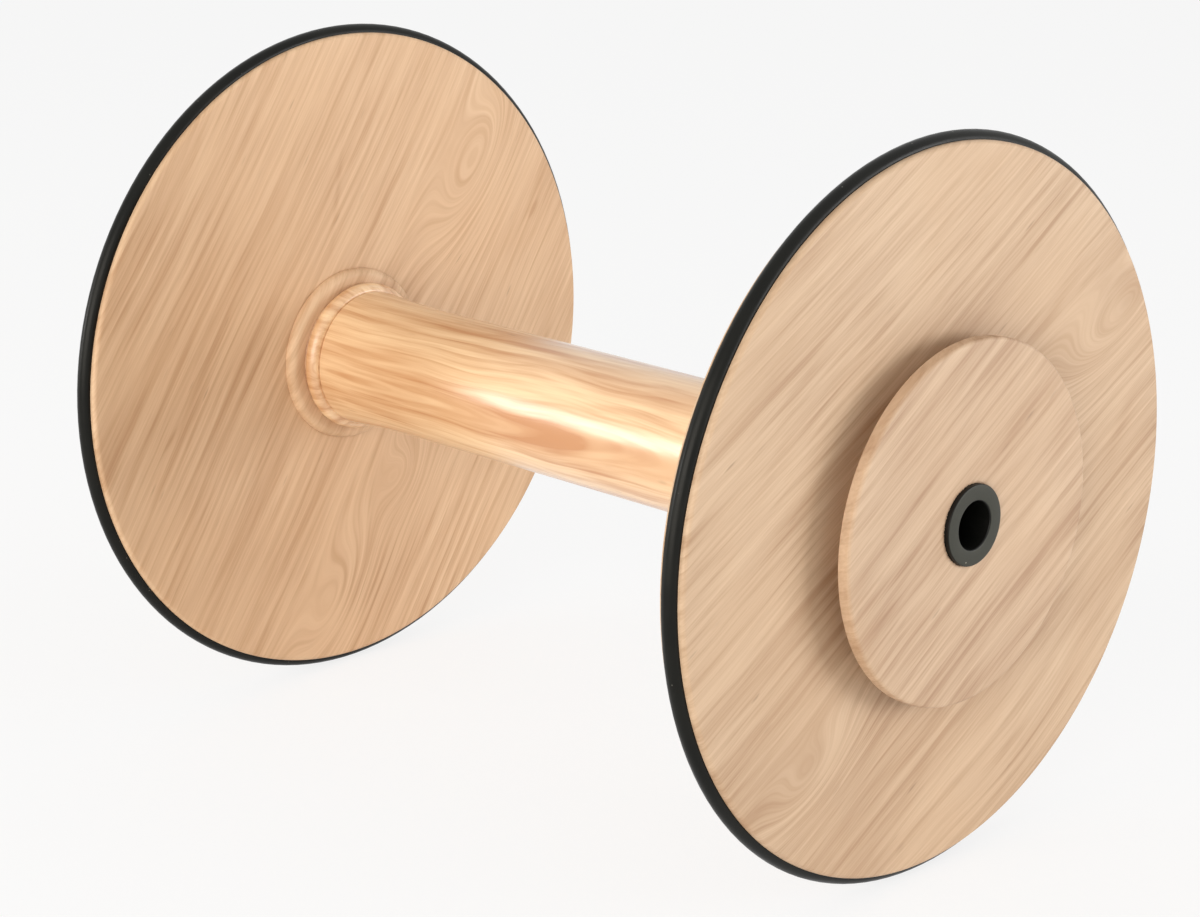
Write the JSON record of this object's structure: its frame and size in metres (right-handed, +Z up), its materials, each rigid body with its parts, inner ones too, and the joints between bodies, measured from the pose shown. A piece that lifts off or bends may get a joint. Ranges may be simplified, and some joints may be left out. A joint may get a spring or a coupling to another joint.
{
  "type": "spinning wheel bobbin",
  "caption": "Large wooden spinning wheel bobbin: rubber-rimmed end discs on a bored, turned core, with a grooved whorl and plastic shaft bushes.",
  "frame": {"origin": "on the bobbin's turning axis, midway between the outer ends of its two bushes", "axes": "+Y along the turning axis, from the whorl end towards the plain end; +Z up, with the bobbin lying on its two rim rings"},
  "size_m": [0.1556, 0.1948, 0.1556],
  "materials": {
    "pale_wood": "satin",
    "lacquered_wood": "glossy lacquer",
    "black_rubber": "smooth matte",
    "black_plastic": "machined satin"
  },
  "bodies": {
    "root": {"core": "lacquered_wood", "whorl_disc": "pale_wood", "end_disc": "pale_wood", "whorl_side_collar": "pale_wood", "end_collar": "pale_wood", "whorl": "pale_wood", "whorl_side_rim_ring": "black_rubber", "end_rim_ring": "black_rubber", "whorl_side_bush": "black_plastic", "end_bush": "black_plastic"}
  },
  "joints": []
}
